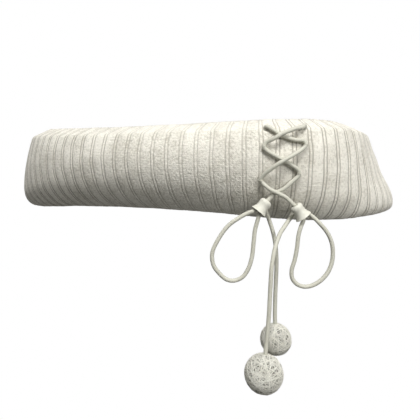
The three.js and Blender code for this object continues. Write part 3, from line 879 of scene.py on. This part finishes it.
def knit_cover():
    columns = [(k + p, h, d) for k in range(REPEATS) for p, h, d in PROFILE]
    shares, heights, painted_shade = np.array(columns).T
    distance = RIB_OFFSET + shares * GIRTH / REPEATS
    points, shade, lengths = ribbed_surface(distance, heights, painted_shade)
    faces, corners = grid_faces(len(lengths), len(distance))
    around = np.append(distance, distance[0] + GIRTH)
    upward = np.append(lengths, lengths[-1] + KNIT)
    uvs = [(around[c], upward[r]) for r, c in corners]
    piece = mesh_piece("knit_cover", points.reshape(-1, 3), faces, RIB_KNIT, uvs)
    # The groove attribute carries the painted groove shade.
    groove = piece.data.attributes.new("groove", "FLOAT", "POINT")
    groove.data.foreach_set("value", shade.astype(np.float32).ravel())
    return piece


cover = knit_cover()
belongs(cover, "band", "rib_shell")
print("knit cover:", len(cover.data.polygons), "faces")

# %% [markdown]
# ## The lining and its seams
# Inside, a plain jersey strip covers the padding. It lies flat between the two turned-in edges of the
# knit, and it puckers a little where the seam pulls it.

# %% The lining
LINING_EDGE = LIP - 0.5
LINING_COLUMNS = 864
PUCKER = 0.07
PUCKERS_ROUND, LESSER_PUCKERS_ROUND = 108, 61


def lining_strip(section):
    """A ring with a closed section of (depth, height) points, puckered towards its edges."""
    section = np.array(section, float)
    columns = np.arange(LINING_COLUMNS)
    distance = columns * GIRTH / LINING_COLUMNS - GIRTH / 2
    turn = 2 * math.pi * columns / LINING_COLUMNS
    wave = np.sin(turn * PUCKERS_ROUND) + 0.6 * np.sin(turn * LESSER_PUCKERS_ROUND)
    near_edge = np.clip((np.abs(section[:, 1]) - 9) / 7, 0, 1)
    depth = section[:, :1] + PUCKER * near_edge[:, None] * wave[None, :]
    points = band_point(angle_along(distance)[None, :], depth, section[:, 1:2])
    faces, corners = grid_faces(len(section), LINING_COLUMNS)
    lengths = lengths_along(section)
    upward = np.append(lengths, lengths[-1] + 1)
    uvs = [(c * GIRTH / LINING_COLUMNS, upward[r]) for r, c in corners]
    return mesh_piece("lining_strip", points.reshape(-1, 3), faces, LINING_KNIT, uvs)


lining_heights = [LINING_EDGE - x for x in (0.15, 1.2, 3, 5.5)] + [8, 4, 0, -4, -8]
lining_heights += [-LINING_EDGE + x for x in (5.5, 3, 1.2, 0.15)]
front = [(LINING - THICKNESS, h) for h in lining_heights]
back = [(-THICKNESS - 0.05, h) for h in lining_heights[::-1]]
lining = lining_strip(front + back)
belongs(lining, "band", "lining")
print("lining:", len(lining.data.polygons), "faces")

# %% [markdown]
# Each seam is a row of slanting overcast stitches that bridge the knit's turned-in edge and the lining.
# One stitch is a short bent thread. It is made once as a small list of points, and a loop sets it every
# couple of millimetres round the band.

# %% Seam stitches
STITCH_THREAD = 0.42
STITCHES_ROUND = 250
STITCH_WIDTH = 1.3
# (share of the stitch's width along the band, height, lift off the lining)
STITCH_SHAPE = [(-0.45, -1.0, 0.0), (-0.3, -0.55, 0.42), (0.1, 0.1, 0.58)]
STITCH_SHAPE += [(0.45, 0.7, 0.42), (0.6, 1.15, 0.0)]
STITCH_HINT = [0.31, 0.52, 0.79]


def many_threads(name, routes, diameter, material, sides=5):
    """Many short threads as one piece."""
    points, faces, uvs = [], [], []
    for route in routes:
        first = len(points)
        for ring in cross_sections(route, [diameter / 2] * len(route), sides, STITCH_HINT):
            points.extend(ring)
        quads, corners = ring_quads(len(route), sides, first)
        faces += quads
        uvs += [(c * 0.3, r) for c, r in corners]
        faces.append([first + c for c in range(sides)][::-1])
        faces.append([len(points) - sides + c for c in range(sides)])
        uvs += [(c * 0.3, 0) for c in range(2 * sides)]
    return mesh_piece(name, points, faces, material, uvs)


def seam_stitches(name, height, replaced):
    leans = math.copysign(1, height)
    routes = []
    for i in range(STITCHES_ROUND):
        distance = i * GIRTH / STITCHES_ROUND - GIRTH / 2
        route = []
        for share, up, lift in STITCH_SHAPE:
            along = np.clip(distance + share * STITCH_WIDTH, -GIRTH / 2, GIRTH / 2)
            route.append(band_point(angle_along(along), -THICKNESS - lift, height + (up - 0.15) * leans))
        routes.append(np.array(route))
    piece = many_threads(name, routes, STITCH_THREAD, THREAD)
    belongs(piece, "band", replaced)
    print(name, len(routes), "stitches")


seam_stitches("upper_seam_stitches", LIP, "top_seam_thread")
seam_stitches("lower_seam_stitches", -LIP, "bottom_seam_thread")

# %% [markdown]
# The knit and its lining are closed into a ring at the far side. A narrow tape covers that join, and a
# zigzag of thread holds it down.

# %% The closing tape
TAPE_HALF_WIDTH, TAPE_HALF_HEIGHT = 3.0, 16
FAR_SIDE = LACING_ANGLE + math.pi
FAR_STEP = np.linalg.norm(outline(np.array(FAR_SIDE + 0.01)) - outline(np.array(FAR_SIDE))) / 0.01


def tape_section():
    """(angle, depth) round the tape: its crowned face, then its flat back."""
    across = np.linspace(-TAPE_HALF_WIDTH, TAPE_HALF_WIDTH, 7)
    angles = FAR_SIDE + across / FAR_STEP
    face = [-THICKNESS - 0.45 - 0.5 * math.cos(x / TAPE_HALF_WIDTH * 1.2) for x in across]
    return list(zip(angles, face)) + [(angle, -THICKNESS - 0.3) for angle in angles[::-1]]


def closing_tape():
    heights = np.linspace(-TAPE_HALF_HEIGHT, TAPE_HALF_HEIGHT, 33)
    section = tape_section()
    size = len(section)
    points = [band_point(angle, depth, height) for height in heights for angle, depth in section]
    faces, _ = ring_quads(len(heights), size)
    faces.append(list(range(size))[::-1])
    faces.append([len(points) - size + c for c in range(size)])
    uvs = [(points[i][0], points[i][2]) for face in faces for i in face]
    piece = mesh_piece("closing_tape", points, faces, LINING_KNIT, uvs)
    bm = bmesh.new()
    bm.from_mesh(piece.data)
    bmesh.ops.recalc_face_normals(bm, faces=bm.faces)
    bm.to_mesh(piece.data)
    bm.free()
    return piece


tape = closing_tape()
belongs(tape, "band", "closing_seam")
print("closing tape:", len(tape.data.polygons), "faces")

# %% [markdown]
# Zigzag is the usual stitch here, because it stretches with the knit where a straight row would snap.

# %% The tape's zigzag
zigzag = []
for i in range(31):
    sideways = 2.0 if i % 2 else -2.0
    zigzag.append(band_point(FAR_SIDE + sideways / FAR_STEP, -THICKNESS - 1.0, -15 + i * 1.0))
tape_thread, _ = tube("closing_tape_thread", zigzag, 0.35, THREAD, sides=6, spacing=0.5)
belongs(tape_thread, "band", "closing_seam")
print("zigzag:", len(zigzag), "points")

# %% [markdown]
# ## The lace
# One cord makes the whole criss-cross: up from the left bell, in through a hole under the top edge,
# across behind the knit, out of the other hole, and down to the right bell. It lies on the knit at its
# bends and rises where it crosses over itself.

# %% The lace's route
CORD_GAP = 0.35
UNDER = CORD / 2 + CORD_GAP
OVER = UNDER + CORD + CORD_GAP
BRIDGE_DEPTH, BRIDGE_HEIGHT = 5.0, 13.4
LEFT_BENDS = [(-8.1, 8.5), (-9.4, -4.2)]
RIGHT_BENDS = [(9.6, 9.2), (6.8, -1.7)]
LEFT_MOUTH, LEFT_TOWARDS = (-10.8, 0.0, -18.5), (-2.6, -0.4, -9.8)
RIGHT_MOUTH, RIGHT_TOWARDS = (9.3, 0.5, -20.2), (-1.4, 1.3, -10.2)
KNOT_RADIUS, KNOT_INSET, STRAIGHT = 1.9, 1.2, 10.2


def bell_axis(mouth, towards):
    line = hanging(towards) - hanging(mouth)
    return line / np.linalg.norm(line)


def along_axis(mouth, towards, distance):
    return hanging(mouth) + distance * bell_axis(mouth, towards)


def hole_path(hole, side):
    along, height = hole
    return [
        off_knit((along - side * 1.9, height - 0.6, UNDER)),
        off_knit((along - side * 0.2, height, CORD * 0.35)),
        off_knit((along, height, -KNIT)),
        in_band((along - side * 0.6, BRIDGE_HEIGHT + 0.9, -BRIDGE_DEPTH + 0.4)),
        in_band((along - side * 2.2, BRIDGE_HEIGHT, -BRIDGE_DEPTH)),
    ]


LACE_END = KNOT_INSET + KNOT_RADIUS + 0.3
CROSS_UNDER = UNDER + 0.9
CROSS_OVER = CROSS_UNDER + CORD + CORD_GAP
LACE = [
    *(along_axis(LEFT_MOUTH, LEFT_TOWARDS, d) for d in (LACE_END, 6, 8.2, STRAIGHT)),
    off_knit((0.6, -7, CROSS_UNDER)),
    off_knit((3.9, -4.7, UNDER + 0.2)),
    off_knit((6.3, -2.9, UNDER)),
    off_knit((*RIGHT_BENDS[1], UNDER)),
    off_knit((6, -0.4, UNDER)),
    off_knit((-0.2, 3.2, UNDER)),
    off_knit((-6.8, 6.9, UNDER)),
    off_knit((*LEFT_BENDS[0], UNDER)),
    off_knit((-7.2, 10, UNDER + 0.2)),
    off_knit((-3.9, 11.3, OVER - 0.6)),
    off_knit((-0.7, 12.9, OVER)),
    off_knit((4.4, 14.9, OVER - 0.7)),
    *hole_path(HOLES[1], 1),
    in_band((1.6, BRIDGE_HEIGHT, -BRIDGE_DEPTH)),
    *hole_path(HOLES[0], -1)[::-1],
    off_knit((-3.4, 14.6, UNDER)),
    off_knit((-0.7, 12.9, UNDER)),
    off_knit((4.6, 11.1, UNDER)),
    off_knit((8.7, 10.6, UNDER)),
    off_knit((*RIGHT_BENDS[0], UNDER)),
    off_knit((8.6, 8, UNDER)),
    off_knit((4, 5.4, OVER - 0.6)),
    off_knit((-0.2, 3.2, OVER)),
    off_knit((-4.4, 0.7, OVER - 0.6)),
    off_knit((-8.7, -2.9, UNDER + 0.1)),
    off_knit((*LEFT_BENDS[1], UNDER)),
    off_knit((-8.6, -5.2, UNDER + 0.2)),
    off_knit((-5.8, -6.7, CROSS_OVER - 0.8)),
    *(along_axis(RIGHT_MOUTH, RIGHT_TOWARDS, d) for d in (STRAIGHT + 1, 8.2, 6, LACE_END)),
]

lace, lace_route = tube("lace_cord", LACE, CORD, CORD_FINISH)
belongs(lace, "band", "lace")
print("lace:", round(route_length(lace_route)), "mm")

# %% [markdown]
# A small stitch over each outer bend keeps the lace on the knit. Both of its feet go into the knit.

# %% Stitches at the bends
def bend_stitch(name, bend):
    along, height = bend
    reach = CORD / 2 + 0.1
    arch = [(-reach, -0.4), (-reach, UNDER), (-0.7 * reach, UNDER + 0.7 * reach), (0, UNDER + reach)]
    arch += [(0.7 * reach, UNDER + 0.7 * reach), (reach, UNDER), (reach, -0.4)]
    points = [off_knit((along + across, height, lift)) for across, lift in arch]
    piece, _ = tube(name + "_loop", points, 0.2, THREAD, sides=8, spacing=0.2)
    belongs(piece, "band", name)


for side, bends in (("left", LEFT_BENDS), ("right", RIGHT_BENDS)):
    for level, bend in zip(("upper", "lower"), bends):
        bend_stitch(f"{level}_{side}_stitch", bend)
print("bend stitches: 4")

# %% [markdown]
# ## The bells
# A bell is a turned cap: a small round shoulder at the neck, a waist, and a flare to a thin rim. It is
# grown from a circle, as on a lathe: the circle is extruded and scaled again and again up the outside,
# over the neck and back down the inside, and the last ring is merged with the first.

# %% Bells
# (radius, distance from the mouth)
BELL_RINGS = [
    (3.7, 0.0), (3.68, 0.16), (3.48, 0.44), (3.12, 1.0),
    (2.84, 1.7), (2.64, 2.5), (2.56, 3.2), (2.6, 3.8),
    (2.7, 4.4), (2.7, 5.0), (2.52, 5.55), (2.15, 6.0),
    (1.65, 6.22), (1.3, 6.2), (1.18, 5.9), (1.18, 4.1),
    (1.9, 3.4), (2.3, 2.2), (2.9, 0.85), (3.4, 0.12),
]


def bell(name):
    bpy.ops.object.select_all(action="DESELECT")
    bpy.ops.mesh.primitive_circle_add(vertices=40, radius=BELL_RINGS[0][0] * MM, location=(0, 0, 0))
    piece = bpy.context.active_object
    piece.name = name
    bpy.ops.object.mode_set(mode="EDIT")
    for (radius, up), (next_radius, next_up) in zip(BELL_RINGS, BELL_RINGS[1:]):
        scale = next_radius / radius
        step = (0, 0, (next_up - up) * MM)
        bpy.ops.mesh.extrude_edges_move(TRANSFORM_OT_translate={"value": step})
        bpy.ops.transform.resize(value=(scale, scale, 1), center_override=(0, 0, next_up * MM))
    bpy.ops.object.mode_set(mode="OBJECT")
    return piece


print("bell profile:", len(BELL_RINGS), "rings")

# %% [markdown]
# A loose cap doesn't stay in line with its cord, so each bell leans a few degrees about its neck. The
# rim is closed first, then subdivision rounds the profile, and at last the bell is stood on the lace.

# %% Bells on the lace
BELL_PIVOT = 5.0  # distance from the mouth of the point that a bell leans about
BELL_TILTS = {"left": 4, "right": -10}


def finish_bell(piece, mouth, towards, tilt):
    """Closes the rim, smooths the bell and stands it on the lace."""
    bm = bmesh.new()
    bm.from_mesh(piece.data)
    open_edges = [e for e in bm.edges if e.is_boundary]
    bmesh.ops.bridge_loops(bm, edges=open_edges)
    bmesh.ops.recalc_face_normals(bm, faces=bm.faces)
    bm.to_mesh(piece.data)
    bm.free()
    smoothing = piece.modifiers.new("smooth", "SUBSURF")
    smoothing.levels = smoothing.render_levels = 2
    bpy.ops.object.select_all(action="DESELECT")
    piece.select_set(True)
    bpy.context.view_layer.objects.active = piece
    bpy.ops.object.modifier_apply(modifier="smooth")
    bpy.ops.object.shade_smooth()
    axis = Vector(bell_axis(mouth, towards))
    droop = Matrix.Rotation(math.radians(tilt), 3, Vector(LACING_OUT))
    neck = Vector(hanging(mouth)) + axis * BELL_PIVOT
    piece.rotation_euler = (droop @ axis).to_track_quat("Z", "Y").to_euler()
    piece.location = (neck - droop @ axis * BELL_PIVOT) * MM
    bpy.ops.object.transform_apply(location=True, rotation=True, scale=True)
    piece.data.materials.append(BELL)


SIDES = (("left", LEFT_MOUTH, LEFT_TOWARDS), ("right", RIGHT_MOUTH, RIGHT_TOWARDS))
for side, mouth, towards in SIDES:
    cap = bell(f"{side}_bell_cap")
    finish_bell(cap, mouth, towards, BELL_TILTS[side])
    belongs(cap, f"{side}_bell", f"{side}_bell")
    print(cap.name, len(cap.data.polygons), "faces")

# %% [markdown]
# ## Knots
# A knot is a short piece of the same cord, pulled tight. A trefoil, the simplest closed knot, gives its
# three lobes. It is made as a tube on a formula, and shrunk to the room that the CAD knot has.

# %% Knots
def knot(name, centre, radius, body, replaced):
    turns = np.linspace(0, 2 * math.pi, 73)
    x = np.sin(turns) + 2 * np.sin(2 * turns)
    y = np.cos(turns) - 2 * np.cos(2 * turns)
    z = -1.1 * np.sin(3 * turns)
    strand = radius * 0.62
    line = np.stack([x, y, z], -1) * (radius - strand / 2) / 3.0
    points = [np.asarray(centre) + p for p in line]
    spacing = radius * 0.12
    piece, _ = tube(name, points, strand, CORD_FINISH, sides=10, spacing=spacing, rounded=False)
    belongs(piece, body, replaced)


TAIL_KNOT_RADIUS, LAYER_GAP = 1.3, 0.6
TAIL_KNOTS = {"left": (-7.8, -12.6), "right": (8.1, -13.5)}
for side, mouth, towards in SIDES:
    inside = along_axis(mouth, towards, KNOT_INSET)
    knot(f"{side}_bow_knot", inside, KNOT_RADIUS, "band", f"{side}_knot")
    behind = off_knit((*TAIL_KNOTS[side], TAIL_KNOT_RADIUS + LAYER_GAP))
    knot(f"{side}_sewn_knot", behind, TAIL_KNOT_RADIUS, f"{side}_tail_knot", f"{side}_tail_knot")
print("knots: 4")

# %% [markdown]
# ## Yarn balls
# A yarn ball is wound, not moulded: turn after turn of yarn in great circles that cross each other. A
# torus is one turn of yarn. It is made once, and its copies are tilted every way round a small core.

# %% One turn of yarn
LEFT_BALL_RADIUS, RIGHT_BALL_RADIUS = 6.9, 8.2
END_KNOT_RADIUS = 1.7
YARN_DIAMETER = 0.42
YARN_SIDES, YARN_SEGMENTS = 5, 36


def take_mesh(shape):
    """A primitive's points in millimetres and its faces. The primitive itself is removed."""
    mesh = shape.data
    vertices = np.array([v.co for v in mesh.vertices]) / MM
    faces = [list(p.vertices) for p in mesh.polygons]
    bpy.data.objects.remove(shape)
    bpy.data.meshes.remove(mesh)
    return vertices, faces


def yarn_turn(radius):
    bpy.ops.object.select_all(action="DESELECT")
    bpy.ops.mesh.primitive_torus_add(
        major_radius=radius * MM,
        minor_radius=YARN_DIAMETER / 2 * MM,
        major_segments=YARN_SEGMENTS,
        minor_segments=YARN_SIDES,
        generate_uvs=False,
    )
    return take_mesh(bpy.context.active_object)


def core_sphere(radius):
    bpy.ops.object.select_all(action="DESELECT")
    bpy.ops.mesh.primitive_uv_sphere_add(segments=32, ring_count=18, radius=radius * MM)
    return take_mesh(bpy.context.active_object)


print("faces in one turn:", len(yarn_turn(RIGHT_BALL_RADIUS)[1]))

# %% [markdown]
# Most turns are near great circles, so a few sizes of torus do for all of them. Each size is made once.
# The deeper a point lies between the turns, the more painted shade its groove attribute gives it.

# %% Winding a ball
TURNS = 290
WOUND_DEPTH = 0.5  # from the deepest turn to the outermost one
CORE_DEPTH = 0.7
# Painted shade between the turns: it starts at the first depth below and is full over the second.
SHADE_FROM, SHADE_OVER = 0.145, 0.22
made_turns = {}


def wind_turn(i, centre, radius, draw):
    """Points, faces and UVs of one turn, tilted at random."""
    layer = radius - YARN_DIAMETER / 2 - WOUND_DEPTH * (1 - i / TURNS) - draw.uniform(0, 0.12)
    tilt = Vector((draw.gauss(0, 1), draw.gauss(0, 1), draw.gauss(0, 1))).normalized()
    off_centre = draw.uniform(-0.35, 0.35)
    ring = layer * math.sqrt(1 - off_centre**2)
    size = round(ring, 1)
    if size not in made_turns:
        made_turns[size] = yarn_turn(size)
    vertices, faces = made_turns[size]
    wave = np.arctan2(vertices[:, 1], vertices[:, 0]) * 3 + draw.uniform(0, 6.3)
    moved = vertices.copy()
    moved[:, 2] += off_centre * layer + 0.10 * np.sin(wave)
    step = 2 * math.pi * ring / YARN_SEGMENTS
    uvs = [(v % YARN_SIDES * 0.5, v // YARN_SIDES * step) for face in faces for v in face]
    return centre + moved @ np.array(tilt.to_track_quat("Z", "Y").to_matrix()).T, faces, uvs


def yarn_ball(name, centre, radius, seed):
    draw = random.Random(seed)
    core_points, core_faces = core_sphere(radius - CORE_DEPTH)
    parts = [wind_turn(i, centre, radius, draw) for i in range(TURNS)]
    parts.append((centre + core_points, core_faces, [(0, 0)] * sum(map(len, core_faces))))
    points, faces, uvs = [], [], []
    for part_points, part_faces, part_uvs in parts:
        first = len(points)
        points.extend(part_points)
        faces.extend([first + v for v in face] for face in part_faces)
        uvs += part_uvs
    piece = mesh_piece(name, points, faces, YARN, uvs)
    # Painted shade between the turns: the deeper a point lies, the darker its colour.
    depth = radius - np.linalg.norm(np.array(points) - centre, axis=1)
    dark = np.clip((depth - SHADE_FROM) / SHADE_OVER, 0, 1)
    groove = piece.data.attributes.new("groove", "FLOAT", "POINT")
    groove.data.foreach_set("value", dark.astype(np.float32))
    return piece


print("turns in a ball:", TURNS)

# %% [markdown]
# Each ball hangs from the knot inside it, so its middle lies just below the end of its tail.

# %% Both balls
def ball_centre(tail):
    before_end, end = hanging(tail[-2]), hanging(tail[-1])
    upward = (before_end - end) / np.linalg.norm(before_end - end)
    return end - (END_KNOT_RADIUS + 0.3) * upward


BALLS = {"left": (LEFT_TAIL, LEFT_BALL_RADIUS), "right": (RIGHT_TAIL, RIGHT_BALL_RADIUS)}
for seed, (side, (tail, radius)) in enumerate(BALLS.items()):
    piece = yarn_ball(f"{side}_yarn_ball", ball_centre(tail), radius, seed + 3)
    belongs(piece, f"{side}_tail", f"{side}_ball")
    print(piece.name, len(piece.data.polygons), "faces")

# %% [markdown]
# ## Loops and tails
# The free cords are tubes on the routes at the top of this lesson, each as thick as the cord. Each one
# prints its length.

# %% Free cords
PATH_STEP = 2.5  # spacing of a route that free_cord works out but does not use


def free_cord(name, route_points, node):
    """A hanging cord that rides on the body named as its CAD node."""
    points = [hanging(p) for p in route_points]
    piece, route = tube(name, points, CORD, CORD_FINISH)
    belongs(piece, node, node)
    (smooth_route(points, PATH_STEP) * MM).tolist()
    print(name, round(route_length(route), 1), "mm")


for side, loop, tail in (("left", LEFT_LOOP, LEFT_TAIL), ("right", RIGHT_LOOP, RIGHT_TAIL)):
    free_cord(f"{side}_bow_loop", loop, f"{side}_loop")
    free_cord(f"{side}_tail_cord", tail, f"{side}_tail")
